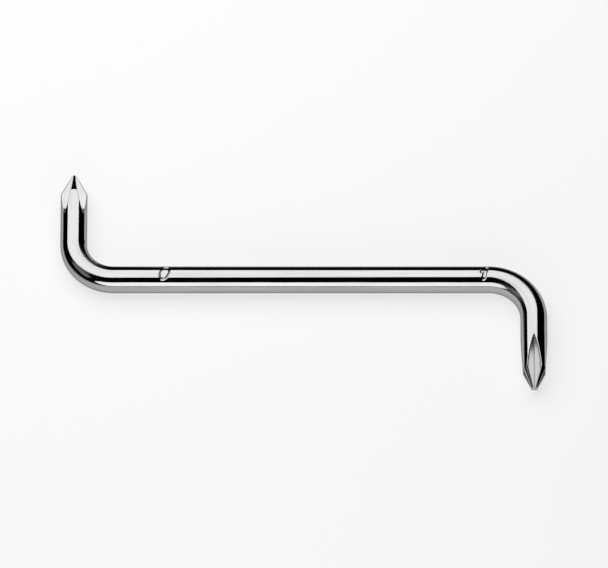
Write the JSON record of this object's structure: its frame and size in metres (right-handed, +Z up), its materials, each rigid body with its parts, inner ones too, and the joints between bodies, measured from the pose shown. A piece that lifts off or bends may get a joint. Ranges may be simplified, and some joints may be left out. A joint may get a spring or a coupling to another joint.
{
  "type": "offset screwdriver",
  "caption": "Offset screwdriver: a round chrome-plated steel bar bent to a Z, with a small cross point ground on one arm and a larger one on the other.",
  "frame": {"origin": "under the middle of the tool's box, on the surface that it lies on", "axes": "+X along the shank towards the No. 1 arm, +Y the way the No. 0 arm points, +Z up from the surface that the tool lies on"},
  "size_m": [0.0906, 0.0462, 0.005],
  "materials": {
    "polished_chrome": "bright chrome plate over a drawn and polished steel bar",
    "ground_chrome": "chrome plate over ground flutes, a little softer than the bar"
  },
  "bodies": {
    "root": {"middle_shank": "polished_chrome", "upper_bend": "polished_chrome", "upper_arm": "polished_chrome", "number_0_point": "ground_chrome", "lower_bend": "polished_chrome", "lower_arm": "polished_chrome", "number_1_point": "ground_chrome"}
  },
  "joints": []
}
